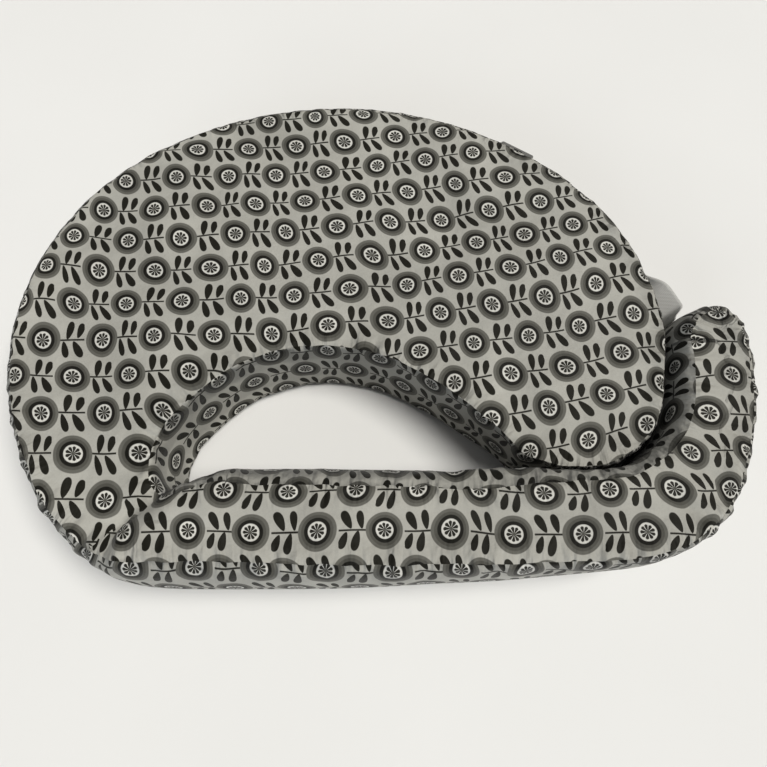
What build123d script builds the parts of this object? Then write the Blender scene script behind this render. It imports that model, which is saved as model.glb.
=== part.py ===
from build123d import *
import os
from math import cos, radians, sin

# A nursing pillow: a wide kidney-shaped cushion whose narrow arm runs along the front and curls
# round the far side. +X is to the right, +Y towards the back, +Z up, origin under the middle.
# Millimetres and degrees.
CUSHION_HEIGHT = 80
ARM_HEIGHT = 105
TIP_HEIGHT = 92  # the arm is lower at its curled end
SKIN = 1.0  # thickness of the sewn cover
CUSHION_EDGE = 7  # the cushion's panel seam, in from its widest line and down from its top
ARM_EDGE = 14  # the same on the fatter arm
TIP_GAP = 2.5  # between the cushion's round end and the arm curled about it

# The outline seen from above is one run of tangent arcs (radius, sweep). It starts at the arm's
# end, goes down its outer side, along the front and clockwise round the cushion.
START = (235.9, -31.1)
START_HEADING = 85
ARM_OUTER = [(38, -76), (27, -95), (209.1, -37.5), (117.6, -51), (2945, -6)]
ARM_ROOT = [(310, -5), (125, -46.5)]
LEFT_FLANK = [(270, -26.5), (215, -66.5)]
BACK = (300, -78)
RIGHT_FLANK = (205, -68.5)
ROUND_END = (72, -83.5)
WAIST = [(300, -4.5), (10, -28.5), (340, 17.5), (136, 85), (51, 46)]

# The arm bends where its two hinge planes cut it, each about a line on its outer surface.
ROOT_HINGE = (-159.3, -216)
TIP_HINGE = (181.7, -204)
RIDGE_RUN = (-246.3, -174.3)  # along X, where the arm's top rises out of the cushion's top
ARM_PLACE = (40, -125)  # the arm's place beside its root: how far along X, and up to which Y
WAIST_ZONE = (-169.3, 109.7, -138, -30)  # round the waist band, as x from, x to, y from, y to
ARM_MIDDLE_Y = -170
TIP_FALL_TURN = 31  # the way the arm's top falls towards its end, and where along that way
TIP_FALL_RUN = (75, 205)
ARM_BACK = (2600, 8.3)  # the arm's waist side

# The zip runs low along the back wall, measured as angles about that arc's centre.
ZIP_HEIGHT = 17
ZIP_FROM, ZIP_TO = 70, 122
ZIP_SLOT = 10
TAPE = 0.8
TAPE_WIDTH = 7.4
TAPE_GAP = 1.2
TOOTH_GAP = 1.0
TOOTH = 2.0
TOOTH_PITCH_DEG = 0.44
GROOVE = (5, 9)  # the room behind the zip: its depth in the foam and half its height
SLIDER_AT = 71.6
SLIDER_HALF_DEG = 1.1
SLIDER_HALF_HEIGHT = 3.5
BRIDGE_HALF_DEG = 0.6
BRIDGE = (1.3, 3.0, 3.9)  # depths of its foot, its underside and its top
PULL_LENGTH = 22
PULL_WIDTH = 5
PULL_THICKNESS = 0.9
PULL_LEG = 6

# The strap is webbing on edge, at mid height along the outside of the cushion's round end.
STRAP_HEIGHT = 40
STRAP_WIDTH = 25
STRAP_THICKNESS = 1.6
STRAP_OFF_WALL = 8
STRAP_LOOP = 2.4  # inside radius of its eye round the plug's bar
STRAP_TAIL = 34
STRAP_ROOT_DEG = 118  # where it leaves the arm's end, as an angle about that end's centre
STRAP_END_DEG = 43  # where the buckle's bar sits, as an angle about the right flank's centre
SOCKET_AT_DEG = 57  # the buckle's socket, as an angle about the back wall's centre
SOCKET_SIZE = (34, 11, 34)
SOCKET_WALL = 2
SOCKET_BAR = 10  # from the socket's cavity to its back
# The webbing's loop round the socket's back bar, as x from, x to, y from, y to about the socket.
LOOP_LEGS = [
    (11.8, 13.2, -7.1, 7.6),
    (11.8, 19.4, -7.1, -5.8),
    (18, 19.4, -7.1, 7.6),
    (11.8, 21, 6.3, 7.6),
]
PLUG_TURN = 5  # the plug leans in to follow the wall
PLUG_BODY = (10, 7, 30)
PLUG_BODY_AT = 11
PLUG_GUIDE = (12, 3, 3)
PRONG = [(16.6, 7), (34, 7), (36, 8.5), (36, 11), (32, 13.5), (27, 13.5), (27, 11), (16.6, 11)]
PRONG_HALF_THICKNESS = 2.8
LABEL_SIZE = (18, 0.5, 26)
LABEL_HEIGHT = 26

TALL = 400  # longer than anything here, for cutting solids
FROM_X = (Align.MIN, Align.CENTER, Align.CENTER)

os.makedirs("parts", exist_ok=True)


def save(name, shape):
    export_step(shape, f"parts/{name}.step")


def direction(heading):
    return Vector(cos(radians(heading)), sin(radians(heading)))


def right_of(heading):
    return direction(heading - 90)


def advance(at, heading, arcs):
    """Where a run of tangent arcs ends, and the way it faces there."""
    at = Vector(*at)
    for radius, sweep in arcs:
        turn = 1 if sweep > 0 else -1
        centre = at - right_of(heading) * radius * turn
        heading += sweep
        at = centre + right_of(heading) * radius * turn
    return at, heading


def follow(at, heading, arcs, inset=0):
    """The arcs' edges, all moved inset to the right. A negative sweep turns right."""
    edges = []
    at = Vector(*at) + right_of(heading) * inset
    for radius, sweep in arcs:
        turn = 1 if sweep > 0 else -1
        edges.append(JernArc(at, direction(heading), radius + turn * inset, sweep))
        at = edges[-1] @ 1
        heading += sweep
    return edges


ROOT_POINT, ROOT_HEADING = advance(START, START_HEADING, ARM_OUTER)
BACK_POINT, BACK_HEADING = advance(ROOT_POINT, ROOT_HEADING, ARM_ROOT + LEFT_FLANK)
FLANK_POINT, FLANK_HEADING = advance(BACK_POINT, BACK_HEADING, [BACK])
BACK_CENTRE = BACK_POINT + right_of(BACK_HEADING) * BACK[0]
FLANK_CENTRE = FLANK_POINT + right_of(FLANK_HEADING) * RIGHT_FLANK[0]
END_CENTRE = Vector(*START) + right_of(START_HEADING) * ARM_OUTER[0][0]


def cushion_outline(inset):
    arcs = ARM_ROOT + LEFT_FLANK + [BACK, RIGHT_FLANK, ROUND_END] + WAIST
    edges = follow(ROOT_POINT, ROOT_HEADING, arcs, inset)
    first, last = edges[0] @ 0, edges[-1] @ 1
    closing = Polyline(last, (first.X, last.Y), first)
    return make_face(edges + [closing])


def arm_outline(inset):
    """The arm with its root running on inside the cushion, to be cut at the hinge planes."""
    outer = follow(START, START_HEADING, ARM_OUTER + ARM_ROOT, inset)
    flank_end = FLANK_HEADING + RIGHT_FLANK[1] + 360
    sweep_up = flank_end + 90 - (START_HEADING - 90)
    inner_arcs = [
        (RIGHT_FLANK[0] + TIP_GAP, sweep_up),
        (ROUND_END[0] + TIP_GAP, -73),
        ARM_BACK,
    ]
    inner = follow(START, START_HEADING + 180, inner_arcs, -inset)
    root_line = Line(outer[-1] @ 1, inner[-1] @ 1)
    return make_face(outer + inner + [root_line])


def block(outline, bottom, top, edge):
    """A flat-topped cushion with sloped shoulders along its curved outline."""
    solid = extrude(outline.moved(Location((0, 0, bottom))), top - bottom)
    rims = solid.edges().filter_by(GeomType.CIRCLE).filter_by_position(Axis.Z, bottom, bottom)
    rims += solid.edges().filter_by(GeomType.CIRCLE).filter_by_position(Axis.Z, top, top)
    return chamfer(rims, edge)


def slab(x_from, x_to, y_from=-TALL, y_to=TALL, z_from=-TALL, z_to=TALL):
    size = (x_to - x_from, y_to - y_from, z_to - z_from)
    middle = ((x_from + x_to) / 2, (y_from + y_to) / 2, (z_from + z_to) / 2)
    return Pos(*middle) * Box(*size)


def inner_edge(edge, inset):
    """The shoulder that runs parallel to a wider one, inset inside it."""
    return edge - inset * (2 - 2**0.5)


def above_slope(run, low, high):
    """Everything above a top that changes height along X, from run's first place to its second."""
    outline = Polygon(
        (-TALL, low), (run[0], low), (run[1], high), (TALL, high), (TALL, TALL), (-TALL, TALL),
        align=None,
    )
    return extrude(Plane.XZ * outline, TALL, both=True)


def arm_solid(inset):
    """The arm at its full height, and at its end's height where its top has come down to that."""
    edge = inner_edge(ARM_EDGE, inset)
    full = block(arm_outline(inset), inset, ARM_HEIGHT - inset, edge)
    low = block(arm_outline(inset), inset, TIP_HEIGHT - inset, edge)
    fall = above_slope(TIP_FALL_RUN, ARM_HEIGHT - inset, TIP_HEIGHT - inset)
    return full - Rot(Z=TIP_FALL_TURN) * fall + low


def cushion_solid(inset):
    """The cushion and, rising out of its corner, the root of the arm."""
    base = block(
        cushion_outline(inset), inset, CUSHION_HEIGHT - inset, inner_edge(CUSHION_EDGE, inset)
    )
    root = arm_solid(inset) & slab(-TALL, ROOT_HINGE[0], z_from=CUSHION_HEIGHT / 2)
    root -= above_slope(RIDGE_RUN, CUSHION_HEIGHT - inset, ARM_HEIGHT - inset)
    reach, y_to = ARM_PLACE
    arm_place = slab(ROOT_HINGE[0], ROOT_HINGE[0] + reach, y_to=y_to)
    return base - arm_place + root


def panels_and_band(outer, core, zone):
    """The cover round a core, cut into its top panel, bottom panel and band."""
    cover = outer - core
    flat = cover & zone
    top = flat & slab(-TALL, TALL, z_from=CUSHION_HEIGHT / 2)
    bottom = flat & slab(-TALL, TALL, z_to=CUSHION_HEIGHT / 2)
    return top, bottom, cover - zone


def ring_sector(centre, radius_from, radius_to, angle_from, angle_to, z_from, z_to):
    """A curved bar that follows an arc of the wall."""
    sides = []
    for radius in (radius_from, radius_to):
        sides.append(
            CenterArc((centre.X, centre.Y), radius, angle_from, angle_to - angle_from)
        )
    ends = [Line(sides[0] @ place, sides[1] @ place) for place in (0, 1)]
    return extrude(Pos(0, 0, z_from) * make_face(sides + ends), z_to - z_from)


def zip_sector(depth_from, depth_to, z_from, z_to, angle_from=ZIP_FROM, angle_to=ZIP_TO):
    """A stretch along the zip. Depths count outwards from the cover's outer surface."""
    radii = (BACK[0] + depth_from, BACK[0] + depth_to)
    heights = (ZIP_HEIGHT + z_from, ZIP_HEIGHT + z_to)
    return ring_sector(BACK_CENTRE, *radii, angle_from, angle_to, *heights)


def make_cushion():
    outer, core = cushion_solid(0), cushion_solid(SKIN)
    zone = extrude(cushion_outline(CUSHION_EDGE), TALL, both=True)
    top, bottom, band = panels_and_band(outer, core, zone)
    depth, half = GROOVE
    groove = zip_sector(-depth, -SKIN, -half, half, ZIP_FROM - 1.5, ZIP_TO + 1.5)
    slot = zip_sector(-SKIN - 1, 1, -ZIP_SLOT / 2, ZIP_SLOT / 2, ZIP_FROM - 0.5, ZIP_TO + 0.5)
    waist = slab(*WAIST_ZONE)
    save("cushion_foam_core", core - groove)
    save("cushion_top_panel", top)
    save("cushion_bottom_panel", bottom)
    save("cushion_outer_band", band - waist - slot)
    save("cushion_waist_band", band & waist)


def make_arm_and_tip():
    outer, core = arm_solid(0), arm_solid(SKIN)
    zone = extrude(arm_outline(ARM_EDGE), TALL, both=True)
    stretches = {"arm": (ROOT_HINGE[0], TIP_HINGE[0]), "tip": (TIP_HINGE[0], TALL)}
    for name, (x_from, x_to) in stretches.items():
        here = slab(x_from, x_to)
        top, bottom, band = panels_and_band(outer & here, core & here, zone)
        save(f"{name}_foam_core", core & here)
        save(f"{name}_top_panel", top)
        save(f"{name}_bottom_panel", bottom)
        if name == "tip":
            save("tip_band", band)
        else:
            save("arm_outer_band", band & slab(-TALL, TALL, y_to=ARM_MIDDLE_Y))
            save("arm_inner_band", band & slab(-TALL, TALL, y_from=ARM_MIDDLE_Y))


def make_zip():
    edge, selvedge = TAPE_GAP / 2, TAPE_GAP / 2 + TAPE_WIDTH
    save("zip_tape_upper", zip_sector(-SKIN - TAPE, -SKIN, edge, selvedge))
    save("zip_tape_lower", zip_sector(-SKIN - TAPE, -SKIN, -selvedge, -edge))
    near, far = TOOTH_GAP / 2, TOOTH_GAP / 2 + TOOTH
    rows = {"upper": (near, far, 0), "lower": (-far, -near, TOOTH_PITCH_DEG / 2)}
    count = int((ZIP_TO - ZIP_FROM - 4) / TOOTH_PITCH_DEG)
    for name, (z_from, z_to, shift) in rows.items():
        teeth = []
        for place in range(count):
            angle = ZIP_FROM + 2.9 + shift + place * TOOTH_PITCH_DEG
            width = TOOTH_PITCH_DEG * 0.6
            teeth.append(zip_sector(-SKIN, -0.1, z_from, z_to, angle, angle + width))
        save(f"zip_teeth_{name}", Compound(teeth))
    stops = []
    for z_from, z_to in ((near, far), (-far, -near)):
        stops.append(zip_sector(-SKIN, 0.2, z_from, z_to, ZIP_TO - 0.7, ZIP_TO - 0.3))
    save("zip_end_stops", Compound(stops))


def make_zip_slider():
    span = (SLIDER_AT - SLIDER_HALF_DEG, SLIDER_AT + SLIDER_HALF_DEG)
    tall = SLIDER_HALF_HEIGHT
    plate = zip_sector(0.3, 1.4, -tall, tall, *span)
    inner_plate = zip_sector(-3.6, -2.2, -tall, tall, *span)
    web = zip_sector(-2.4, 0.5, -0.3, 0.3, SLIDER_AT - 0.4, SLIDER_AT + 0.4)
    flanges = [zip_sector(-0.8, 0.5, z, z + 0.8, *span) for z in (-tall, tall - 0.8)]
    foot, under, top = BRIDGE
    bridge_from, bridge_to = SLIDER_AT - BRIDGE_HALF_DEG, SLIDER_AT + BRIDGE_HALF_DEG
    bridge = [zip_sector(under, top, -0.8, 0.8, bridge_from, bridge_to)]
    for angle in (bridge_from, bridge_to - 0.18):
        bridge.append(zip_sector(foot, top, -0.8, 0.8, angle, angle + 0.18))
    save("zip_slider", plate + inner_plate + web + flanges + bridge)


def make_zip_pull():
    """A flat tab whose cross bar lies under the slider's bridge."""
    reach = BACK[0] + 2.2
    origin = BACK_CENTRE + direction(SLIDER_AT) * reach
    cross_bar = Cylinder(0.5, PULL_WIDTH)
    legs = []
    for side in (-1, 1):
        leg = Box(PULL_LEG + 1, PULL_THICKNESS, 1, align=FROM_X)
        legs.append(Pos(0, 0, side * (PULL_WIDTH - 1) / 2) * leg)
    tab = Box(PULL_LENGTH - PULL_LEG, PULL_THICKNESS, PULL_WIDTH, align=FROM_X)
    tab = fillet(tab.edges().filter_by(Axis.Y).sort_by(Axis.X)[-2:], 1.5)
    hole = Pos(PULL_LENGTH - 10, 0, 0) * Rot(X=90) * Cylinder(1.1, 2)
    pull = cross_bar + legs + Pos(PULL_LEG, 0, 0) * tab - hole
    save("zip_pull", Pos(origin.X, origin.Y, ZIP_HEIGHT) * Rot(Z=SLIDER_AT + 90) * pull)


def strap_path():
    """The webbing's centre line: straight from the arm's end, then round the wall."""
    radius = RIGHT_FLANK[0] + STRAP_OFF_WALL
    root = END_CENTRE + direction(STRAP_ROOT_DEG) * (ARM_OUTER[0][0] + 1)
    away = root - FLANK_CENTRE
    touch = Vector(1, 0, 0).get_signed_angle(away, Vector(0, 0, 1))
    touch += Vector(radius, 0, 0).get_angle(
        Vector(radius, (away.length**2 - radius**2) ** 0.5, 0)
    )
    return root, touch, radius


def buckle_bar():
    radius = RIGHT_FLANK[0] + STRAP_OFF_WALL
    return FLANK_CENTRE + direction(STRAP_END_DEG) * radius


def make_strap():
    """One run of webbing from the arm's end to an eye round the plug's bar, and its sewn tail."""
    root, touch, radius = strap_path()
    bar = buckle_bar()
    half = STRAP_THICKNESS / 2
    stop = STRAP_END_DEG - 1.8
    low, high = STRAP_HEIGHT - STRAP_WIDTH / 2, STRAP_HEIGHT + STRAP_WIDTH / 2
    run = ring_sector(FLANK_CENTRE, radius - half, radius + half, touch, stop, low, high)
    first = FLANK_CENTRE + direction(touch) * radius
    straight = Box((first - root).length, STRAP_THICKNESS, STRAP_WIDTH, align=FROM_X)
    straight = Pos(root.X, root.Y, STRAP_HEIGHT) * Rot(Z=touch + 90) * straight
    eye = Cylinder(STRAP_LOOP + STRAP_THICKNESS, STRAP_WIDTH) - Cylinder(STRAP_LOOP, STRAP_WIDTH)
    eye = Pos(bar.X, bar.Y, STRAP_HEIGHT) * eye
    tail = Pos(1, -STRAP_LOOP - half, 0) * Box(STRAP_TAIL, STRAP_THICKNESS, STRAP_WIDTH, align=FROM_X)
    tail = Pos(bar.X, bar.Y, STRAP_HEIGHT) * Rot(Z=STRAP_END_DEG + 270) * tail
    save("strap_webbing", straight + run + eye + tail)


def plug_place():
    bar = buckle_bar()
    return Pos(bar.X, bar.Y, STRAP_HEIGHT) * Rot(Z=STRAP_END_DEG + 90 + PLUG_TURN)


def make_buckle_plug():
    """The male half: a bar for the webbing, a body and a middle guide."""
    body = Pos(PLUG_BODY_AT, 0, 0) * Box(*PLUG_BODY)
    body = fillet(body.edges().filter_by(Axis.Z), 1.5)
    rails = [Pos(2.5, 0, side * 14.1) * Box(9, 5, 1.8) for side in (-1, 1)]
    bar = Cylinder(1.6, 28)
    guide = Pos(20, 0, 0) * Box(*PLUG_GUIDE)
    save("buckle_plug", plug_place() * (body + rails + bar + guide))


def make_buckle_prongs():
    """Two sprung arms, each ending in a catch that snaps out of the socket's side window."""
    for name, side in (("upper", 1), ("lower", -1)):
        outline = make_face(Polyline(*PRONG, PRONG[0]))
        arm = extrude(Plane.XZ * outline, PRONG_HALF_THICKNESS, both=True)
        if side < 0:
            arm = mirror(arm, about=Plane.XY)
        save(f"buckle_prong_{name}", plug_place() * arm)


def socket_place():
    centre = BACK_CENTRE + direction(SOCKET_AT_DEG) * (BACK[0] + STRAP_OFF_WALL)
    return Pos(centre.X, centre.Y, STRAP_HEIGHT) * Rot(Z=SOCKET_AT_DEG + 90)


def make_buckle_socket():
    """The female half, open towards the plug, with a window in each edge for the catches."""
    length, thickness, height = SOCKET_SIZE
    shell = Box(length, thickness, height)
    shell = fillet(shell.edges().filter_by(Axis.Z), 2)
    inside = thickness - 2 * SOCKET_WALL
    cavity = Box(length - SOCKET_BAR, inside, height - 2 * SOCKET_WALL)
    cavity = Pos(-SOCKET_BAR / 2, 0, 0) * cavity
    windows = Pos(-1, 0, 0) * Box(9, inside, height + 2)
    eye = Pos(length / 2 - 4.5, 0, 0) * Box(3.4, thickness + 2, height - 8)
    save("buckle_socket", socket_place() * (shell - cavity - windows - eye))


def make_socket_webbing():
    """Webbing sewn flat to the cushion's outer band and looped through the socket's eye."""
    low, high = STRAP_HEIGHT - STRAP_WIDTH / 2, STRAP_HEIGHT + STRAP_WIDTH / 2
    inner, outer = BACK[0] + 0.3, BACK[0] + 0.3 + STRAP_THICKNESS
    sewn = ring_sector(BACK_CENTRE, inner, outer, SOCKET_AT_DEG + 3.4, ZIP_FROM + 6, low, high)
    loop = []
    for x_from, x_to, y_from, y_to in LOOP_LEGS:
        loop.append(slab(x_from, x_to, y_from, y_to, -STRAP_WIDTH / 2, STRAP_WIDTH / 2))
    save("socket_webbing", sewn + socket_place() * (Part() + loop))


def make_care_label():
    width, thickness, height = LABEL_SIZE
    angle = ZIP_TO + 4
    centre = BACK_CENTRE + direction(angle) * (BACK[0] + 1)
    label = Box(width, thickness, height)
    save("care_label", Pos(centre.X, centre.Y, LABEL_HEIGHT) * Rot(Z=angle + 90) * label)


make_cushion()
make_arm_and_tip()
make_zip()
make_zip_slider()
make_zip_pull()
make_strap()
make_buckle_plug()
make_buckle_prongs()
make_buckle_socket()
make_socket_webbing()
make_care_label()
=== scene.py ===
import bpy
import numpy as np
from math import atan2, cos, pi, radians, sin
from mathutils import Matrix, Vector, geometry, noise


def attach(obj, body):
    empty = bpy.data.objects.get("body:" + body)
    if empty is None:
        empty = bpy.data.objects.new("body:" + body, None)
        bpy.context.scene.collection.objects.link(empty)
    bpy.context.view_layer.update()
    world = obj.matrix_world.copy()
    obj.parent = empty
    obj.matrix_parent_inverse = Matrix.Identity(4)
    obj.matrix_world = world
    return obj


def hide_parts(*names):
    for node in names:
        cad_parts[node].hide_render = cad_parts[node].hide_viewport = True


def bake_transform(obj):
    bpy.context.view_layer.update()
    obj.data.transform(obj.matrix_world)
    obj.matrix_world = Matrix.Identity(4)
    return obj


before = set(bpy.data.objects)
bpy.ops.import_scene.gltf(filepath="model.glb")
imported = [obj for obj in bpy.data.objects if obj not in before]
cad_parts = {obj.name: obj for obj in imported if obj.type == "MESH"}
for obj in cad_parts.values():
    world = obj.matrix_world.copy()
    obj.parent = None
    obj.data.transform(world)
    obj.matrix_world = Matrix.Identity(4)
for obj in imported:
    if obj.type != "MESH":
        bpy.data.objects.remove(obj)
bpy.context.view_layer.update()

# How bright the pale room is, low down and overhead, and where it has darkened (0 to 1 upwards).
SKY_LOW, SKY_HIGH = 0.5, 0.16
SKY_DARK_FROM = 0.4

FLOOR_REACH, FLOOR_DROP = 12, -0.0005  # metres

# The camera: metres, degrees back from straight down, millimetres.
CAMERA_AT = (0.0056, -0.2157, 0.4851)
CAMERA_TILT, LENS, SENSOR = 20, 26.3, 36

# Lengths in the shape tables are millimetres; everything in the scene is metres.
MM = 0.001

# The outline seen from above, as tangent arcs (radius, sweep), from the arm's tip along its outer
# side and round the cushion. ARM_INNER runs from the same start along the arm's inner side.
START = (235.9, -31.1)
START_HEADING = 85
ARM_OUTER = [(38, -76), (27, -95), (209.1, -37.5), (117.6, -51), (2945, -6)]
ARM_ROOT = [(310, -5), (125, -46.5)]
LEFT_FLANK = [(270, -26.5), (215, -66.5)]
BACK = [(300, -78)]
RIGHT_FLANK = [(205, -68.5)]
ROUND_END = [(72, -83.5)]
WAIST = [(300, -4.5), (10, -28.5), (340, 17.5), (136, 85), (51, 46)]
ARM_INNER = [(207.5, -16.5), (74.5, -73), (2600, 8.3)]
# The waist opening's left corner: where its two sides stop, and the handles of the curve between.
HOLE_CORNER_Y = -120
ARM_BACK_FROM_X = -106
HOLE_CORNER_HANDLES = [(-164, -168), (-129, -131.2)]

# Heights: the seam round each panel, and the panel's crown inside it.
CUSHION_SEAM, CUSHION_CROWN = 75.5, 80
ARM_SEAM, ARM_CROWN = 97, 104.5
TIP_SEAM, TIP_CROWN = 85, 91.5
BOTTOM_SEAM = 6

# How far each seam lies inside the widest line, at the joints between the outline's stretches.
SEAM_INSETS = {
    "tip_start": 11, "tip_cap": 11, "tip_side": 10.5, "curl": 9, "front_right": 6.5,
    "front_left": 19, "root": 14, "corner": 8.5, "flank": 7, "back": 7,
    "right": 6.5, "round_end": 2, "waist": 2.5, "hole_corner": 5, "arm_back_left": 20.5,
    "arm_back_right": 21, "beside_round_end": 8, "curl_inside": 14,
}

# How deep the seam's puckers are, in the same way.
PUCKERS = {
    "tip_start": 2.8, "tip_cap": 3.2, "tip_side": 2.6, "curl": 3.4, "front_right": 2.2,
    "front_left": 2.2, "root": 3.4, "corner": 3.2, "flank": 1.8, "back": 1.8,
    "right": 1.8, "round_end": 2.6, "waist": 3.4, "hole_corner": 3.8, "arm_back_left": 2.8,
    "arm_back_right": 2.2, "beside_round_end": 1.8, "curl_inside": 2.4,
}

# How far the foot of the wall stands out past the seam above it, round the waist opening.
FOOT_SHIFTS = {
    "tip_start": 0, "round_end": 0, "waist": -3, "waist_right": -5, "waist_top": 3,
    "waist_left": 6, "hole_corner": 7, "arm_back_left": 0,
}

# How far the arm's back is drawn in where it faces the waist opening.
SIDE_SHIFTS = {
    "tip_start": 0, "hole_corner": 0, "arm_back_left": -3.5, "arm_back_right": -3,
    "beside_round_end": -1.4, "curl_inside": -1.2,
}

# How far the arm's shoulder swells out over the cushion's edge, where the two lie side by side.
SHOULDERS = {
    "tip_start": 0, "arm_back_left": 0, "arm_back_middle": 0, "arm_back_right": 5.5,
    "beside_round_end": 4.2, "curl_inside": 1.5,
}

# Folds in the top, where the arm leaves the cushion and where it curls: from, to, half width, height.
FOLDS = [
    ((-146, -142), (-214, -192), 5.0, -2.0),
    ((-157, -146), (-204, -176), 4.0, 2.2),
    ((-154, -152), (-196, -190), 3.5, -2.0),
    ((-150, -158), (-178, -184), 3.0, 1.8),
    ((-178, -160), (-186, -206), 3.4, -2.2),
    ((-169, -166), (-176, -206), 3.0, 1.7),
    ((-192, -168), (-206, -196), 3.6, 1.8),
    ((-166, -128), (-186, -136), 3.5, -2.0),
    ((-163, -118), (-190, -116), 4.0, -1.5),
    ((-160, -104), (-184, -96), 4.0, 1.3),
    ((-150, -88), (-168, -70), 4.0, -1.4),
    ((196, -146), (222, -182), 4.0, -1.8),
    ((206, -142), (240, -176), 3.6, 1.6),
    ((216, -134), (256, -160), 4.0, -1.7),
    ((224, -122), (268, -136), 4.0, 1.5),
    ((228, -106), (270, -108), 4.4, -1.3),
    ((240, -44), (262, -20), 3.6, -1.5),
    ((252, -60), (282, -42), 3.8, 1.2),
]

FOLD_DEPTH = 1.9  # every fold's height is taken this many times

# The foot of the slope where the arm's top rises out of the cushion's top.
SLOPE_FOOT = (-161.3, -154)
SLOPE_NORMAL = (0.593, -0.805)
SLOPE_RUN = (-3, 21)
SLOPE_LENGTH, SLOPE_WIDENING = 90, 0.45  # it gets longer towards its lower end
SLOPE_FADES_X, SLOPE_FADE = -84, 20  # on the cushion it ends here, eased over this length

STEP = 2.6  # spacing of the points along the seams
GRID = 4.2  # spacing inside the panels
RINGS = (1.6, 3.6, 6.4, 10, 14.5)  # rows of points beside a seam, by distance in from it
SPARSE_FROM = 5  # rings further in than this have every other point
FILLET_POINTS = 28  # steps round the waist opening's left corner
WALL_ROWS = 26

# How far in from the seam the crown falls away, and how far the puckers reach: cushion, arm.
CROWN_REACH = (9, 12)
PUCKER_REACH = (8, 11)

# Soft unevenness of the panels: wave length, seed, height, and how far in it starts.
UNEVENNESS = [(62, 2.2, 2.6, 30), (24, 7.5, 0.9, 14)]

SEAM_GROOVE, SEAM_GROOVE_WIDTH = 0.9, 1.3  # the stitched seam's depth and half width
FOOT_SPREAD = 14  # how far under the bottom the foot's shift fades out
BOTTOM_FALL = 5.5  # how far in the bottom's rounded edge runs
SHOULDER_AT, SHOULDER_WIDTH = 0.085, 0.07  # where down the wall the shoulder swells, as a share

# The print on each surface: its repeat, and the offsets that place the first flower.
PITCH, ROW_PITCH = 45.3, 31.04
CUSHION_OFFSETS = (3.94, 5.511)
CUSHION_SHEAR, CUSHION_TILT, CUSHION_BOW = 0.182, 0.1293, 0.00029
ARM_PITCH, ARM_ROW_PITCH = 43.8, 28.4
ARM_OFFSET, ARM_FIRST_ROW = 2.87, 181.0
WALL_PITCH, WALL_ROW_PITCH, WALL_OFFSET = 44.6, 29.5, 0.72
OUTER_FIRST_ROW, WAIST_FIRST_ROW = 5, 20  # the depth of the wall's first row of flowers
SLOPE_PRINT_FROM = 6  # how far up the slope the arm's print takes over
SLOPE_ENDS_X = -94  # on the cushion, the arm's print goes no further right than this

# The cloth's slight pull out of line: wave length, seeds, and how much along and across.
PULLS = [(85, (21.5, 33.1), (0.07, 0.1)), (34, (41.2, 57.8), (0.035, 0.05))]

# The x where the cover parts into cushion, arm and curled end.
ARM_FROM_X, TIP_FROM_X = -160, 0

WARP_THREADS, WEFT_THREADS = 62, 43  # the weave's ribs to one repeat of the print

# The print's motif, in units of its pitch.
ROW_SHARE = 0.655  # row spacing
CELL_LEFT = 0.32  # how far a motif's cell reaches left of its flower
STEM_HEIGHT, STEM_HALF_WIDTH, STEM_SPAN = 0.01, 0.015, (0.26, 0.74)
FLOWER_RINGS = [(0.293, 90), (0.245, 72), (0.2, 16), (0.142, 196)]  # radius, grey
PETALS = 9
PETAL_REACH, PETAL_WAVE = 0.108, 0.008
PETAL_CUT = 0.8  # where each petal's edge falls on its wave
CENTRE_RADIUS = 0.022
LEAVES = [  # centre, lean, length, width
    ((0.43, 0.168), 78, 0.15, 0.062), ((0.61, 0.16), 70, 0.13, 0.06),
    ((0.375, -0.158), -78, 0.15, 0.056), ((0.575, -0.155), -62, 0.16, 0.066),
]


def walk(at, heading, arcs, step=STEP):
    """Points along a run of tangent arcs, and where each arc ends among them."""
    points = [np.array(at, float)]
    ends = []
    for radius, sweep in arcs:
        turn = 1 if sweep > 0 else -1
        to_right = np.array([cos(radians(heading - 90)), sin(radians(heading - 90))])
        centre = points[-1] - to_right * radius * turn
        count = max(2, round(abs(radians(sweep)) * radius / step))
        for place in range(1, count + 1):
            facing = radians(heading + sweep * place / count - 90)
            points.append(centre + np.array([cos(facing), sin(facing)]) * radius * turn)
        heading += sweep
        ends.append(len(points) - 1)
    return np.array(points), ends


def smooth(value):
    """Eases from 0 to 1 as value goes from 0 to 1."""
    value = np.clip(value, 0, 1)
    return value * value * (3 - 2 * value)


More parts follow.
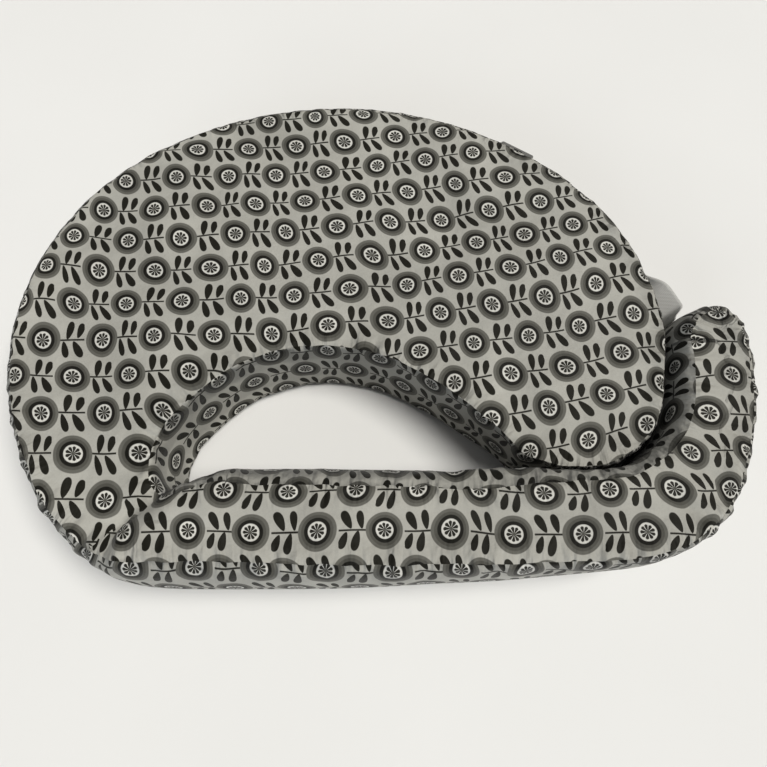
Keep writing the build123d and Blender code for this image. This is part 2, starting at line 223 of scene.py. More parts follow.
def outline_loop():
    """The whole closed outline, and the places of its named joints."""
    stretches = [ARM_OUTER, ARM_ROOT, LEFT_FLANK, BACK, RIGHT_FLANK, ROUND_END, WAIST]
    outer, ends = walk(START, START_HEADING, sum(stretches, []))
    last = len(outer) - 1
    while outer[last][1] < HOLE_CORNER_Y:
        last -= 1
    inner, inner_ends = walk(START, START_HEADING + 180, ARM_INNER)
    cut = int(np.argmax(inner[:, 0] < ARM_BACK_FROM_X))
    inner = inner[:cut][::-1]
    a, b = outer[last], inner[0]
    first_handle, second_handle = np.array(HOLE_CORNER_HANDLES, float)
    fillet = []
    for place in range(1, FILLET_POINTS):
        t = place / FILLET_POINTS
        fillet.append(
            (1 - t) ** 3 * a + 3 * t * (1 - t) ** 2 * first_handle
            + 3 * t * t * (1 - t) * second_handle + t**3 * b
        )
    loop = np.vstack([outer[: last + 1], fillet, inner[:-1]])
    total = len(loop)
    place = {
        "tip_start": 0, "tip_cap": ends[0], "tip_side": ends[1], "curl": ends[2],
        "front_right": ends[3], "front_left": ends[4], "root": ends[5], "corner": ends[6],
        "flank": ends[7], "back": ends[8], "right": ends[9],
        "round_end": ends[10] - 25, "waist": ends[12], "waist_right": ends[13],
        "waist_top": (ends[13] + ends[14]) // 2, "waist_left": ends[14], "hole_corner": last,
        "arm_back_left": last + FILLET_POINTS + 6,
        "beside_round_end": total - (inner_ends[1] - 2),
        "curl_inside": total - inner_ends[0],
    }
    place["arm_back_right"] = place["beside_round_end"] - 30
    place["arm_back_middle"] = place["arm_back_right"] - 10
    return loop, place, last + FILLET_POINTS // 2


def loop_values(place, total, table):
    """A value at every point of the loop, eased between the named joints."""
    names = sorted(table, key=place.get)
    at = [place[name] for name in names] + [total]
    values = [table[name] for name in names] + [table[names[0]]]
    result = np.interp(np.arange(total), at, values)
    kernel = np.hanning(25)
    kernel /= kernel.sum()
    padded = np.concatenate([result[-12:], result, result[:12]])
    return np.convolve(padded, kernel, "valid")


def outward(loop):
    """The loop's outward direction at each of its points."""
    along = np.roll(loop, -1, 0) - np.roll(loop, 1, 0)
    along /= np.linalg.norm(along, axis=1)[:, None]
    return np.stack([-along[:, 1], along[:, 0]], 1)


def loop_noise(distance, wave, seed):
    """Smooth noise along the closed outline, about -1 to 1."""
    radius = TOTAL / (2 * pi) / wave
    result = []
    for run in distance:
        angle = 2 * pi * run / TOTAL
        result.append(noise.noise(Vector((cos(angle) * radius, sin(angle) * radius, seed))))
    return np.array(result) * 1.6


def field_noise(points, wave, seed):
    """Smooth noise over the plan, about -1 to 1."""
    return np.array([noise.noise(Vector((p[0] / wave, p[1] / wave, seed))) for p in points]) * 1.6


def to_loop(points, loop):
    """Each point's distance to the loop and the nearest place along it."""
    a = loop
    ab = np.roll(loop, -1, 0) - a
    length = (ab**2).sum(1)
    best, where = np.empty(len(points)), np.empty(len(points))
    for first in range(0, len(points), 800):
        p = points[first: first + 800]
        t = ((p[:, None] - a) * ab).sum(2) / length
        t = np.clip(t, 0, 1)
        gap = p[:, None] - (a + t[..., None] * ab)
        gap = np.sqrt((gap**2).sum(2))
        pick = gap.argmin(1)
        rows = np.arange(len(p))
        best[first: first + 800] = gap[rows, pick]
        where[first: first + 800] = pick + t[rows, pick]
    return best, where


def inside(points, loop):
    """Which points lie inside the loop."""
    x, y = points[:, 0], points[:, 1]
    result = np.zeros(len(points), bool)
    a, b = loop, np.roll(loop, -1, 0)
    for (ax, ay), (bx, by) in zip(a, b):
        if ay == by:
            continue
        crosses = (ay > y) != (by > y)
        result ^= crosses & (x < (bx - ax) * (y - ay) / (by - ay) + ax)
    return result


def rise(points, arm_side):
    """How far the top has risen from the cushion (0) to the arm (1), and how far up the slope."""
    x, y = points[:, 0] - SLOPE_FOOT[0], points[:, 1] - SLOPE_FOOT[1]
    up = x * SLOPE_NORMAL[0] + y * SLOPE_NORMAL[1]
    along = np.clip(x * SLOPE_NORMAL[1] - y * SLOPE_NORMAL[0], 0, SLOPE_LENGTH)
    start, end = SLOPE_RUN
    value = smooth((up - start) / (end - start + SLOPE_WIDENING * along))
    beside_arm = smooth((SLOPE_FADES_X - points[:, 0]) / SLOPE_FADE)
    return np.where(arm_side, value, value * beside_arm), up


def arm_heights(points):
    """The arm's seam and crown heights, lower towards its curled end."""
    reach = points[:, 0] + 0.6 * (points[:, 1] + 215)
    t = smooth((reach - 196) / 190)
    return ARM_SEAM + (TIP_SEAM - ARM_SEAM) * t, ARM_CROWN + (TIP_CROWN - ARM_CROWN) * t


LOOP, PLACE, HOLE_TURN = outline_loop()
COUNT = len(LOOP)
NORMAL = outward(LOOP)
GAPS = np.linalg.norm(np.roll(LOOP, -1, 0) - LOOP, axis=1)
ALONG = np.concatenate([[0], np.cumsum(GAPS)[:-1]])
TOTAL = GAPS.sum()
INSET = loop_values(PLACE, COUNT, SEAM_INSETS)
PUCKER = loop_values(PLACE, COUNT, PUCKERS)
FOOT = loop_values(PLACE, COUNT, FOOT_SHIFTS)
SIDE = loop_values(PLACE, COUNT, SIDE_SHIFTS)
SHOULDER = loop_values(PLACE, COUNT, SHOULDERS)
ON_ARM_LOOP = (np.arange(COUNT) < PLACE["front_left"]) | (np.arange(COUNT) > HOLE_TURN)
CUSHION_AREA = LOOP[PLACE["front_left"]: HOLE_TURN]


def on_arm(points):
    """Which points belong to the arm and not to the cushion."""
    return ~inside(points, CUSHION_AREA)


def along_loop(where):
    """Lengths along the outline, for places counted in its points."""
    return np.interp(where, np.arange(COUNT + 1), np.append(ALONG, TOTAL))


def seam_loop():
    """The seam line round the panels, seen from above, with its small waves."""
    wave = loop_noise(ALONG, 16, 3.1) * 0.9 + loop_noise(ALONG, 45, 8.2) * 0.8
    return LOOP - NORMAL * (INSET + wave)[:, None]


SEAM = seam_loop()
SEAM_NORMAL = outward(SEAM)


def panel_points(grid):
    """Points inside the seam: rows beside it and an even grid in the middle."""
    rows = []
    for ring in RINGS:
        ring_points = SEAM - SEAM_NORMAL * ring
        if ring > SPARSE_FROM:
            ring_points = ring_points[::2]
        gap, _ = to_loop(ring_points, SEAM)
        rows.append(ring_points[(gap > ring * 0.93) & inside(ring_points, SEAM)])
    low, high = SEAM.min(0), SEAM.max(0)
    xs = np.arange(low[0], high[0], grid)
    ys = np.arange(low[1], high[1], grid * 0.866)
    mesh = np.array([(x + (row % 2) * grid / 2, y) for row, y in enumerate(ys) for x in xs])
    mesh = mesh[inside(mesh, SEAM)]
    gap, _ = to_loop(mesh, SEAM)
    rows.append(mesh[gap > RINGS[-1] + grid * 0.7])
    return np.vstack(rows)


def triangulate(extra):
    """Triangles that fill the seam loop, through the extra points inside it."""
    points = np.vstack([SEAM, extra])
    edges = [(i, (i + 1) % COUNT) for i in range(COUNT)]
    result = geometry.delaunay_2d_cdt([Vector(p) for p in points], edges, [], 1, 1e-6)
    flat = np.array([(v[0], v[1]) for v in result[0]])
    return flat, np.array(result[2])


def fold_height(points):
    """The folds' height over the panel, each fading out at both ends."""
    height = np.zeros(len(points))
    for start, end, width, depth in FOLDS:
        a, b = np.array(start, float), np.array(end, float)
        along = b - a
        length = np.linalg.norm(along)
        along /= length
        t = (points - a) @ along / length
        off = (points - a) @ np.array([-along[1], along[0]])
        off += 2.5 * np.sin(t * 5 + start[0])
        height += depth * np.exp(-((off / width) ** 2)) * smooth(t * 3) * smooth((1 - t) * 3)
    return height


def top_height(points, distance, where, arm_side):
    """The panel's height: a crown falling away to the seam, puckers beside it, and unevenness."""
    risen, _ = rise(points, arm_side)
    arm_seam, arm_crown = arm_heights(points)
    seam = CUSHION_SEAM + (arm_seam - CUSHION_SEAM) * risen
    crown = CUSHION_CROWN + (arm_crown - CUSHION_CROWN) * risen
    fall = CROWN_REACH[0] + (CROWN_REACH[1] - CROWN_REACH[0]) * risen
    height = seam + (crown - seam) * (1 - np.exp(-distance / fall))
    run = along_loop(where)
    deep = np.interp(where, np.arange(COUNT + 1), np.append(PUCKER, PUCKER[0]))
    pucker = loop_noise(run, 12, 1.7) + 0.5 * loop_noise(run, 6, 4.4)
    reach = PUCKER_REACH[0] + (PUCKER_REACH[1] - PUCKER_REACH[0]) * risen
    height += pucker * deep * np.exp(-distance / reach) * smooth(distance / 2.5)
    for wave, seed, size, start in UNEVENNESS:
        height += field_noise(points, wave, seed) * size * smooth(distance / start)
    height += FOLD_DEPTH * fold_height(points) * smooth(distance / 5)
    return height


def bottom_points(flat, distance, where):
    """The bottom panel: flat on the floor, rounded up to its seam, its edge shifted with the foot."""
    height = BOTTOM_SEAM * np.exp(-distance / BOTTOM_FALL)
    height[height < 0.12] = 0
    nearest = np.round(where).astype(int) % COUNT
    nearest[:COUNT] = np.arange(COUNT)
    spread = NORMAL[nearest] * (FOOT[nearest] * np.exp(-distance / FOOT_SPREAD))[:, None]
    return np.column_stack([flat + spread, height])


def wall_points(seam_top, seam_low):
    """The wall's rows between the two seams: bulged, puckered beside them, wavy between."""
    pucker_top = loop_noise(ALONG, 10, 12.3) + 0.6 * loop_noise(ALONG, 5, 9.4)
    pucker_low = loop_noise(ALONG, 12, 15.9)
    long_wave = loop_noise(ALONG, 70, 5.6)
    tall = seam_top - seam_low
    rows = []
    for row in range(1, WALL_ROWS):
        turn = pi * row / WALL_ROWS
        share = (1 - cos(turn)) / 2
        height = seam_top * (1 - share) + seam_low * share
        bulge = INSET * sin(turn) ** 0.85
        to_top, to_low = tall * share, tall * (1 - share)
        wave = 0.7 * PUCKER * pucker_top * np.exp(-to_top / 10) * smooth(to_top / 2.5)
        wave += 0.7 * pucker_low * np.exp(-to_low / 8) * smooth(to_low / 2.5)
        wave += 0.5 * long_wave * sin(turn)
        base_line = (LOOP - NORMAL * INSET[:, None]) * sin(turn) + SEAM * (1 - sin(turn))
        wave = np.minimum(wave, 0.9 + 1.2 * (1 - sin(turn)))
        swell = SHOULDER * np.exp(-(((share - SHOULDER_AT) / SHOULDER_WIDTH) ** 2))
        swell = swell * smooth(share / 0.06)
        out = bulge + wave + swell + SIDE * sin(turn) + FOOT * share * share
        rows.append(np.column_stack([base_line + NORMAL * out[:, None], height]))
    return rows


def build_cover():
    """The whole cover as one closed skin.

    Returns its points, the faces of top, wall and bottom, how far down the wall each row lies,
    and each point's place along the seam and distance from it.
    """
    flat, top_faces = triangulate(panel_points(GRID))
    distance, where = to_loop(flat, SEAM)
    arm_side = on_arm(flat)
    arm_side[:COUNT] = ON_ARM_LOOP
    groove = np.exp(-((distance / SEAM_GROOVE_WIDTH) ** 2)) * SEAM_GROOVE
    top = np.column_stack([flat, top_height(flat, distance, where, arm_side) - groove])
    bottom = bottom_points(flat, distance, where)
    rows = wall_points(top[:COUNT, 2], bottom[:COUNT, 2])
    points = np.vstack([top, *rows, bottom])

    starts = [0] + [len(top) + row * COUNT for row in range(WALL_ROWS)]
    ring = np.arange(COUNT)
    following = (ring + 1) % COUNT
    walls = []
    for upper, lower in zip(starts[:-1], starts[1:]):
        walls.append(np.column_stack([upper + ring, upper + following, lower + following, lower + ring]))
    bottom_faces = top_faces[:, ::-1] + starts[-1]

    wall = np.array([points[start: start + COUNT] for start in starts])
    steps = np.linalg.norm(np.diff(wall, axis=0), axis=2)
    down = np.vstack([np.zeros(COUNT), np.cumsum(steps, 0)])
    beside = np.column_stack([along_loop(where), distance])
    wall_beside = [np.column_stack([ALONG, np.minimum(row, down[-1] - row)]) for row in down[1:-1]]
    seam_places = np.vstack([beside, *wall_beside, beside])
    return points, top_faces, np.vstack(walls), bottom_faces, down, seam_places


def make_mesh(name, points, faces):
    """A mesh object of these points, in metres, and faces."""
    mesh = bpy.data.meshes.new(name)
    mesh.from_pydata([tuple(p) for p in points], [], [tuple(int(i) for i in f) for f in faces])
    mesh.update()
    obj = bpy.data.objects.new(name, mesh)
    bpy.context.scene.collection.objects.link(obj)
    return obj


def add_uv(piece, name, places):
    """A UV map with one place for each face corner."""
    layer = piece.data.uv_layers.new(name=name)
    layer.data.foreach_set("uv", places.astype(np.float32).ravel())


def cushion_print(points):
    """Rows across the cushion's top and bottom, leaning and bowed a little."""
    x, y = points[:, 0], points[:, 1]
    u = (x + CUSHION_SHEAR * y) / PITCH + CUSHION_OFFSETS[0]
    v = (-y + CUSHION_TILT * x + CUSHION_BOW * x**2) / ROW_PITCH + CUSHION_OFFSETS[1]
    return np.column_stack([u, -v])


def arm_print(points):
    """Rows along the arm."""
    x, y = points[:, 0], points[:, 1]
    return np.column_stack([-(x / ARM_PITCH + ARM_OFFSET), -(y + ARM_FIRST_ROW) / ARM_ROW_PITCH])


def wall_print(run, down, first_row):
    """Rows round the wall."""
    return np.column_stack([run / WALL_PITCH + WALL_OFFSET, (down - first_row) / WALL_ROW_PITCH])


def uneven(uv, points):
    """The print's slight pull out of line, as on any cover drawn over a filling."""
    for wave, seeds, amounts in PULLS:
        pull = [field_noise(points, wave, seed) for seed in seeds]
        uv = uv + np.column_stack(pull) * amounts
    return uv


def skin_normals(points, faces):
    """The smooth normals of the whole skin, so that its pieces shade as one."""
    whole = make_mesh("whole_cover", points * MM, faces)
    normals = np.empty(len(points) * 3, np.float32)
    whole.data.vertex_normals.foreach_get("vector", normals)
    bpy.data.objects.remove(whole)
    return normals.reshape(-1, 3)


def print_places(points, tops, walls, bottoms, down, on_slope):
    """Every face corner's place on the print."""
    uv = [arm_print(points[face]) if arm else cushion_print(points[face])
          for face, arm in zip(tops, on_slope[: len(tops)])]
    for number in range(len(walls)):
        row, at = divmod(number, COUNT)
        after = (at + 1) % COUNT
        run = np.array([ALONG[at], ALONG[at] + GAPS[at], ALONG[at] + GAPS[at], ALONG[at]])
        depth = np.array([down[row, at], down[row, after], down[row + 1, after], down[row + 1, at]])
        uv.append(wall_print(run, depth, OUTER_FIRST_ROW if at < HOLE_TURN else WAIST_FIRST_ROW))
    uv += [arm_print(points[face]) if arm else cushion_print(points[face])
           for face, arm in zip(bottoms, on_slope[len(tops) + len(walls):])]
    return uv


def cover_pieces():
    """The cover's three pieces, with the print and the seam's places as UV maps."""
    points, tops, walls, bottoms, down, seam_places = build_cover()
    faces = list(tops) + list(walls) + list(bottoms)
    normals = skin_normals(points, faces)

    middle = np.array([points[face].mean(0) for face in faces])
    top_side = on_arm(middle[: len(tops), :2])
    side = np.concatenate([top_side, np.tile(ON_ARM_LOOP, WALL_ROWS), top_side])
    group = np.zeros(len(faces), int)
    group[side & (middle[:, 0] > ARM_FROM_X)] = 1
    group[side & (middle[:, 0] > TIP_FROM_X)] = 2

    _, slope = rise(middle[:, :2], side)
    on_slope = (slope > SLOPE_PRINT_FROM) & (side | (middle[:, 0] < SLOPE_ENDS_X))
    uv = print_places(points, tops, walls, bottoms, down, on_slope)

    pieces = []
    for index, name in enumerate(("cushion_cover", "arm_cover", "tip_cover")):
        chosen = np.flatnonzero(group == index)
        corners = np.concatenate([faces[i] for i in chosen])
        used = np.unique(corners)
        renumber = -np.ones(len(points), int)
        renumber[used] = np.arange(len(used))
        piece = make_mesh(name, points[used] * MM, [renumber[faces[i]] for i in chosen])
        laid = uneven(np.vstack([uv[i] for i in chosen]), points[corners][:, :2])
        add_uv(piece, "print", laid)
        add_uv(piece, "beside_seam", seam_places[corners] / 10)
        piece.data.polygons.foreach_set("use_smooth", [True] * len(chosen))
        piece.data.normals_split_custom_set_from_vertices([tuple(n) for n in normals[used]])
        pieces.append(piece)
    return pieces


# The strap's webbing runs from the arm's end to the buckle, round the cushion's right flank.
FLANK_CENTRE = (28.93, -13.23)
STRAP_RADIUS = 213
STRAP_ROOT = (255.45, 0.02)
STRAP_END_DEG = 43
STRAP_HEIGHT = 40
STRAP_WIDTH = 25
STRAP_THICKNESS = 1.6
STRAP_LEAN = 58  # it falls open beside the arm's end, by this many degrees at most
STRAP_TAIL = 34
BAR_OFF = 3.2  # how far the webbing's loop stands off the buckle's bar


def strap_line():
    """The webbing's centre line: straight, along the wall, round the buckle's bar and back."""
    centre = np.array(FLANK_CENTRE)
    root = np.array(STRAP_ROOT)
    away = root - centre
    reach = np.linalg.norm(away)
    touch = atan2(away[1], away[0]) + np.arccos(STRAP_RADIUS / reach)
    end = radians(STRAP_END_DEG)

    def beside(angle, off):
        return centre + (STRAP_RADIUS + off) * np.array([cos(angle), sin(angle)])

    points = [root + (beside(touch, 0) - root) * t for t in np.linspace(0, 1, 30)[:-1]]
    for t in np.linspace(0, 1, 24):
        points.append(beside(touch + (end - touch) * t, BAR_OFF * smooth((t - 0.45) / 0.5)))
    bar = beside(end, 0)
    for turn in np.linspace(0, pi, 12)[1:-1]:
        facing = end + turn
        points.append(bar + BAR_OFF * np.array([cos(facing), sin(facing)]))
    for t in np.linspace(0, 1, 12):
        points.append(beside(end - t * STRAP_TAIL / STRAP_RADIUS, -BAR_OFF + 1.4 * smooth(t * 1.4)))
    return np.array(points)


def strap_piece():
    """The webbing: a thin rounded section carried along the line, leaning near its root."""
    line = strap_line()
    along = np.gradient(line, axis=0)
    along /= np.linalg.norm(along, axis=1)[:, None]
    side = np.column_stack([along[:, 1], -along[:, 0]])
    steps = np.linalg.norm(np.diff(line, axis=0), axis=1)
    run = np.concatenate([[0], np.cumsum(steps)])
    lean = radians(STRAP_LEAN) * smooth(run / 12) * smooth((50 - run) / 22)
    half_width, half_thick = STRAP_WIDTH / 2, STRAP_THICKNESS / 2
    across = np.linspace(-1, 1, 11)
    face_side = [(a * half_width, half_thick * (1 - 0.35 * abs(a) ** 8)) for a in across]
    ring = face_side + [(wide, -thick) for wide, thick in face_side[::-1]]
    points = []
    for place, here in enumerate(line):
        tilt = lean[place]
        for wide, thick in ring:
            out = wide * sin(tilt) + thick * cos(tilt) + sin(tilt) * half_width * 0.75
            up = wide * cos(tilt) - thick * sin(tilt)
            spot = here + side[place] * out
            points.append((spot[0], spot[1], STRAP_HEIGHT + up))
    count = len(ring)
    faces = []
    for place in range(len(line) - 1):
        for i in range(count):
            j = (i + 1) % count
            base = place * count
            faces.append((base + i, base + count + i, base + count + j, base + j))
    last = (len(line) - 1) * count
    for i in range(count // 2 - 1):
        mirror = count - 1 - i
        faces.append((i, i + 1, mirror - 1, mirror))
        faces.append((last + i, last + mirror, last + mirror - 1, last + i + 1))
    obj = make_mesh("strap_ribbon", np.array(points) * MM, faces)
    obj.data.polygons.foreach_set("use_smooth", [True] * len(faces))
    return obj


class Nodes:
    """A material's node tree, with short calls for the sums in it."""

    def __init__(self, name):
        self.material = bpy.data.materials.new(name)
        self.material.use_nodes = True
        self.tree = self.material.node_tree
        self.shader = self.tree.nodes["Principled BSDF"]

    def link(self, value, socket):
        if isinstance(value, bpy.types.NodeSocket):
            self.tree.links.new(value, socket)
        else:
            socket.default_value = value

    def math(self, operation, a, b=0.0, c=None):
        node = self.tree.nodes.new("ShaderNodeMath")
        node.operation = operation
        self.link(a, node.inputs[0])
        self.link(b, node.inputs[1])
        if c is not None:
            self.link(c, node.inputs[2])
        return node.outputs[0]

    def sum_of_squares(self, a, b):
        return self.math("ADD", self.math("MULTIPLY", a, a), self.math("MULTIPLY", b, b))

    def wave(self, value, length):
        """A sine wave of this length."""
        return self.math("SINE", self.math("MULTIPLY", value, 2 * pi / length))

    def below(self, value, limit, soft=0.006):
        """1 where value is under limit, with a soft edge."""
        node = self.tree.nodes.new("ShaderNodeMapRange")
        self.link(value, node.inputs["Value"])
        node.inputs["From Min"].default_value = limit - soft
        node.inputs["From Max"].default_value = limit + soft
        node.inputs["To Min"].default_value = 1
        node.inputs["To Max"].default_value = 0
        return node.outputs[0]

    def mix(self, factor, a, b):
        node = self.tree.nodes.new("ShaderNodeMix")
        node.data_type = "RGBA"
        self.link(factor, node.inputs["Factor"])
        self.link(a, node.inputs["A"])
        self.link(b, node.inputs["B"])
        return [o for o in node.outputs if o.type == "RGBA"][0]

    def noise(self, scale, detail=3.0, roughness=0.5, vector=None):
        node = self.tree.nodes.new("ShaderNodeTexNoise")
        node.inputs["Scale"].default_value = scale
        node.inputs["Detail"].default_value = detail
        node.inputs["Roughness"].default_value = roughness
        if vector is None:
            vector = self.place()
        self.tree.links.new(vector, node.inputs["Vector"])
        return node.outputs[0]

    def place(self):
        return self.tree.nodes.new("ShaderNodeTexCoord").outputs["Object"]

    def split(self, vector):
        node = self.tree.nodes.new("ShaderNodeSeparateXYZ")
        self.tree.links.new(vector, node.inputs[0])
        return node.outputs

    def bump(self, height, strength, distance, normal=None):
        node = self.tree.nodes.new("ShaderNodeBump")
        node.inputs["Strength"].default_value = strength
        node.inputs["Distance"].default_value = distance
        self.link(height, node.inputs["Height"])
        if normal is not None:
            self.tree.links.new(normal, node.inputs["Normal"])
        return node.outputs[0]


    def finish(self, normal, roughness, specular=None, sheen=None, sheen_roughness=None):
        """Joins the relief to the shader and sets its gloss; what isn't given stays."""
        self.link(normal, self.shader.inputs["Normal"])
        settings = {
            "Roughness": roughness, "Specular IOR Level": specular,
            "Sheen Weight": sheen, "Sheen Roughness": sheen_roughness,
        }
        for name, value in settings.items():
            if value is not None:
                self.link(value, self.shader.inputs[name])
        return self.material


def grey(level, warmth=0.0):
    """An sRGB grey of 0 to 255 as a linear colour, a little warmer or cooler."""
    tones = (level + 0.3 * warmth, level, level - 1.7 * warmth)
    linear = [((t / 255 + 0.055) / 1.055) ** 2.4 for t in tones]
    return (*linear, 1)


def leaf_mask(nodes, x, y, centre, lean, length, width):
    """A teardrop leaf, its long axis turned lean degrees from +X."""
    along_x, along_y = cos(radians(lean)), sin(radians(lean))
    dx = nodes.math("SUBTRACT", x, centre[0])
    dy = nodes.math("SUBTRACT", y, centre[1])
    along = nodes.math("MULTIPLY", dy, along_y / length)
    along = nodes.math("MULTIPLY_ADD", dx, along_x / length, along)
    across = nodes.math("MULTIPLY", dy, along_x / width)
    across = nodes.math("MULTIPLY_ADD", dx, -along_y / width, across)
    across = nodes.math("DIVIDE", across, nodes.math("MULTIPLY_ADD", along, 0.3, 0.95))
    return nodes.below(nodes.sum_of_squares(along, across), 1, 0.08)


def stem_mask(nodes, x, y):
    """The stem from one flower to the next."""
    thin = nodes.below(
        nodes.math("ABSOLUTE", nodes.math("SUBTRACT", y, STEM_HEIGHT)), STEM_HALF_WIDTH
    )
    before_end = nodes.below(x, STEM_SPAN[1], 0.01)
    after_start = nodes.below(nodes.math("MULTIPLY", x, -1), -STEM_SPAN[0], 0.01)
    return nodes.math("MULTIPLY", thin, nodes.math("MULTIPLY", before_end, after_start))


def rosette_mask(nodes, x, y, radius):
    """A wheel of narrow petals in the flower's middle."""
    wave = nodes.math("COSINE", nodes.math("MULTIPLY", nodes.math("ARCTAN2", y, x), PETALS))
    petal = nodes.below(nodes.math("MULTIPLY", wave, -1), PETAL_CUT, 0.15)
    tip = nodes.math("MULTIPLY_ADD", wave, PETAL_WAVE, PETAL_REACH)
    return nodes.math("MULTIPLY", petal, nodes.below(nodes.math("SUBTRACT", radius, tip), 0, 0.006))


def print_colour(nodes, u, v):
    """The cover's print: rows of ringed flowers joined by leafy stems, each row half a repeat on."""
    row = nodes.math("FLOOR", nodes.math("ADD", v, 0.5))
    y = nodes.math("MULTIPLY", nodes.math("SUBTRACT", v, row), ROW_SHARE)
    odd = nodes.math("FRACT", nodes.math("MULTIPLY", row, 0.5))
    shifted = nodes.math("ADD", u, odd)
    cell = nodes.math("FLOOR", nodes.math("ADD", shifted, CELL_LEFT))
    x = nodes.math("SUBTRACT", shifted, cell)
    radius = nodes.math("SQRT", nodes.sum_of_squares(x, y))

    colour = nodes.mix(stem_mask(nodes, x, y), grey(160, 3.5), grey(18, 4))
    for leaf in LEAVES:
        colour = nodes.mix(leaf_mask(nodes, x, y, *leaf), colour, grey(20, 4))
    for ring, level in FLOWER_RINGS:
        colour = nodes.mix(nodes.below(radius, ring), colour, grey(level, 3))
    colour = nodes.mix(rosette_mask(nodes, x, y, radius), colour, grey(30, 3))
    return nodes.mix(nodes.below(radius, CENTRE_RADIUS, 0.006), colour, grey(74, 3))


def gathers(nodes):
    """Gathers drawn out from the seam, which fade within a few centimetres of it."""
    seam = nodes.tree.nodes.new("ShaderNodeUVMap")
    seam.uv_map = "beside_seam"
    along, away, _ = nodes.split(seam.outputs[0])
    drawn = nodes.tree.nodes.new("ShaderNodeCombineXYZ")
    nodes.link(along, drawn.inputs[0])
    nodes.link(nodes.math("MULTIPLY", away, 0.28), drawn.inputs[1])
    folds = nodes.noise(0.8, 2.5, 0.5, drawn.outputs[0])
    nearness = nodes.math("MAXIMUM", nodes.math("MULTIPLY_ADD", away, -0.45, 1.0), 0.0)
    return nodes.math("MULTIPLY", folds, nodes.math("POWER", nearness, 1.6))


def printed_cotton():
    """The cover's cloth: the print, with painted patches of light and shade, creases, gathers and a
    plain weave.
    """
    nodes = Nodes("printed_cotton")
    uv = nodes.tree.nodes.new("ShaderNodeUVMap")
    uv.uv_map = "print"
    u, v, _ = nodes.split(uv.outputs[0])
    colour = print_colour(nodes, u, v)
    # Painted light and shade: broad soft patches that brighten or darken the cloth's colour, standing in
    # for uneven light. The finer noise after it is the cloth's own grain.
    painted_light_patches = nodes.math("MULTIPLY_ADD", nodes.noise(19, 4), 0.66, 0.7)
    fine = nodes.math("MULTIPLY_ADD", nodes.noise(900, 2), 0.16, 0.92)
    tint = nodes.tree.nodes.new("ShaderNodeVectorMath")
    tint.operation = "SCALE"
    nodes.link(colour, tint.inputs[0])
    nodes.link(nodes.math("MULTIPLY", painted_light_patches, fine), tint.inputs["Scale"])
    nodes.link(tint.outputs[0], nodes.shader.inputs["Base Color"])
    weave = nodes.math("MULTIPLY", nodes.wave(u, 1 / WARP_THREADS), nodes.wave(v, 1 / WEFT_THREADS))
    normal = nodes.bump(nodes.noise(42, 4, 0.5), 0.75, 0.005)
    normal = nodes.bump(gathers(nodes), 1.0, 0.016, normal)
    normal = nodes.bump(weave, 0.16, 0.0003, normal)
    return nodes.finish(normal, roughness=0.66, specular=0.18, sheen=0.04, sheen_roughness=0.4)


def webbing():
    """Ribbed strap webbing."""
    nodes = Nodes("webbing_weave")
    x, y, z = nodes.split(nodes.place())
    diagonal = nodes.math(
        "ADD",
        nodes.math("MULTIPLY", x, 2 * pi / 0.0021), nodes.math("MULTIPLY", y, 2 * pi / 0.0021),
    )
    weave = nodes.math("MULTIPLY", nodes.wave(z, 0.0016), nodes.math("SINE", diagonal))
    tone = nodes.math("MULTIPLY_ADD", weave, 0.12, 0.5)
    nodes.link(nodes.mix(tone, grey(164, 1), grey(204, 1)), nodes.shader.inputs["Base Color"])
    return nodes.finish(nodes.bump(weave, 0.6, 0.0004), roughness=0.7, sheen=0.2)


def moulded(name, dark, light, roughness, grain):
    """A finely grained hard finish, between two tones."""
    nodes = Nodes(name)
    cloud = nodes.noise(grain, 4)
    nodes.link(nodes.mix(cloud, dark, light), nodes.shader.inputs["Base Color"])
    rough = nodes.math("MULTIPLY_ADD", cloud, 0.18, roughness)
    nodes.finish(nodes.bump(nodes.noise(1800, 3), 0.12, 0.0002), roughness=rough)
    return nodes


def metal():
    """The zip's slider, pull and stops."""
    nodes = moulded("brushed_metal", grey(150, 2), grey(190, 2), 0.25, 300)
    nodes.shader.inputs["Metallic"].default_value = 1
    return nodes.material


def tape():
    """The zip tape's fine ribs."""
    nodes = Nodes("zip_tape_weave")
    ribs = nodes.wave(nodes.split(nodes.place())[2], 0.0009)
    tone = nodes.math("MULTIPLY_ADD", ribs, 0.2, 0.5)
    nodes.link(nodes.mix(tone, grey(168, 3), grey(196, 3)), nodes.shader.inputs["Base Color"])
    return nodes.finish(nodes.bump(ribs, 0.4, 0.0002), roughness=0.8)


def floor_paper():
    """The floor's pale, faintly uneven finish."""
    nodes = Nodes("pale_floor")
    cloud = nodes.noise(3, 3)
    nodes.link(nodes.mix(cloud, grey(221), grey(229)), nodes.shader.inputs["Base Color"])
    nodes.shader.inputs["Roughness"].default_value = 0.9
    return nodes.material


def dress(node, material):
    """Gives a piece kept from the design its finish."""
    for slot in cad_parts[node].material_slots:
        slot.material = material


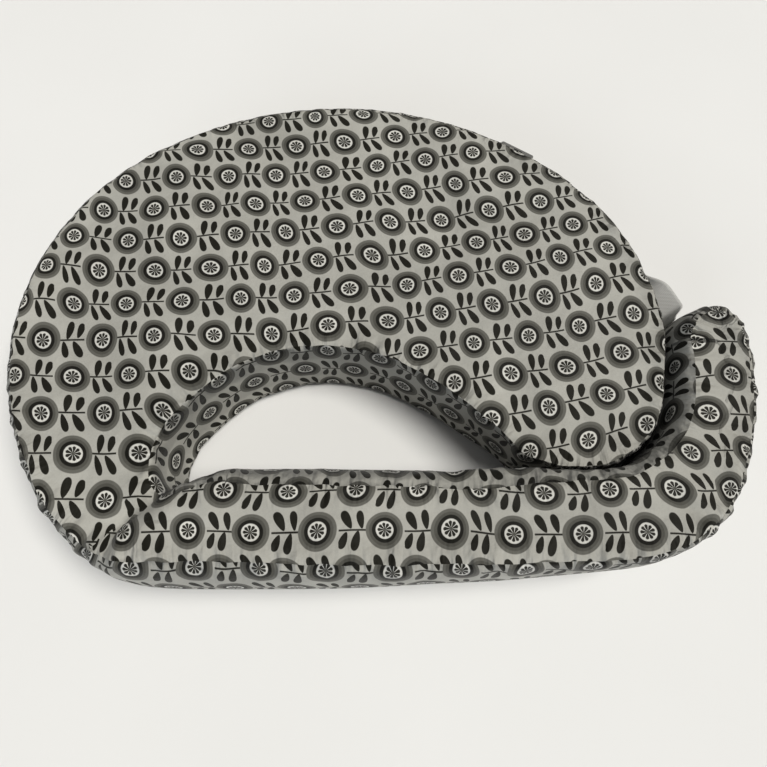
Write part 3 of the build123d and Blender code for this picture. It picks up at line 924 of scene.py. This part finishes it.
def dress_hardware():
    """Finishes for the pieces kept from the design, and the strap in place of its solid."""
    strap = webbing()
    plastic = moulded("buckle_moulding", grey(96, 1), grey(110, 1), 0.38, 60).material
    teeth = moulded("zip_moulding", grey(176, 2), grey(196, 2), 0.4, 200).material
    metal_finish = metal()
    ribbon = tape()
    satin = moulded("label_weave", grey(222, 1), grey(236, 1), 0.5, 400).material
    finishes = {
        "socket_webbing": strap,
        "buckle_socket": plastic, "buckle_plug": plastic,
        "buckle_prong_upper": plastic, "buckle_prong_lower": plastic,
        "zip_teeth_upper": teeth, "zip_teeth_lower": teeth,
        "zip_end_stops": metal_finish, "zip_slider": metal_finish, "zip_pull": metal_finish,
        "zip_tape_upper": ribbon, "zip_tape_lower": ribbon, "care_label": satin,
    }
    for node, finish in finishes.items():
        dress(node, finish)

    ribbon_piece = strap_piece()
    ribbon_piece.data.materials.append(strap)
    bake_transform(ribbon_piece)
    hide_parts("strap_webbing")


def make_covers():
    """The printed cover, in place of the foam and the cover panels."""
    cushion, arm, tip = cover_pieces()
    cotton = printed_cotton()
    for piece in (cushion, arm, tip):
        piece.data.materials.append(cotton)
    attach(cushion, "cushion")
    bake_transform(arm)
    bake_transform(tip)
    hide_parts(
        "cushion_foam_core", "cushion_top_panel", "cushion_bottom_panel",
        "cushion_outer_band", "cushion_waist_band",
    )
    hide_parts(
        "arm_foam_core", "arm_top_panel", "arm_bottom_panel",
        "arm_outer_band", "arm_inner_band",
    )
    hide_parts("tip_foam_core", "tip_top_panel", "tip_bottom_panel", "tip_band")


def make_stage():
    """The pale floor, a hair below the pillow."""
    reach = FLOOR_REACH
    corners = [(-reach, -reach, 0), (reach, -reach, 0), (reach, reach, 0), (-reach, reach, 0)]
    floor = make_mesh("floor", corners, [(0, 1, 2, 3)])
    floor.location.z = FLOOR_DROP
    floor.data.materials.append(floor_paper())


def soft_light(name, towards, spread, strength, colour):
    """A broad far lamp: the direction it lies in, and how wide it looks in degrees."""
    lamp = bpy.data.lights.new(name, "SUN")
    lamp.angle = radians(spread)
    lamp.energy = strength
    lamp.color = colour
    obj = bpy.data.objects.new(name, lamp)
    obj.location = towards
    obj.rotation_euler = Vector(towards).to_track_quat("Z", "Y").to_euler()
    bpy.context.scene.collection.objects.link(obj)


def make_sky():
    """A pale room: bright low down all round, darker overhead."""
    world = bpy.data.worlds.new("studio")
    world.use_nodes = True
    tree = world.node_tree
    height = tree.nodes.new("ShaderNodeSeparateXYZ")
    tree.links.new(tree.nodes.new("ShaderNodeTexCoord").outputs["Generated"], height.inputs[0])
    glow = tree.nodes.new("ShaderNodeMapRange")
    tree.links.new(height.outputs["Z"], glow.inputs["Value"])
    glow.inputs["From Min"].default_value = 0.0
    glow.inputs["From Max"].default_value = SKY_DARK_FROM
    glow.inputs["To Min"].default_value = SKY_LOW
    glow.inputs["To Max"].default_value = SKY_HIGH
    tree.links.new(glow.outputs[0], tree.nodes["Background"].inputs["Strength"])
    tree.nodes["Background"].inputs["Color"].default_value = (1, 1, 1, 1)
    bpy.context.scene.world = world


def make_lights():
    """One broad warm lamp from above, a cool one from the front left, and the room's own light."""
    soft_light("key", (0.5, -0.02, 1.0), 26, 3.05, (1.0, 0.975, 0.91))
    soft_light("window_side", (-0.5, -1.0, 0.42), 40, 0.9, (0.88, 0.94, 1.0))
    make_sky()


def make_camera():
    """The view from above and in front."""
    lens = bpy.data.cameras.new("view")
    lens.lens = LENS
    lens.sensor_width = SENSOR
    camera = bpy.data.objects.new("view", lens)
    camera.location = CAMERA_AT
    camera.rotation_euler = (radians(CAMERA_TILT), 0, 0)
    bpy.context.scene.collection.objects.link(camera)
    bpy.context.scene.camera = camera
    bpy.context.scene.view_settings.view_transform = "Standard"


make_camera()
make_lights()
make_stage()
make_covers()
dress_hardware()
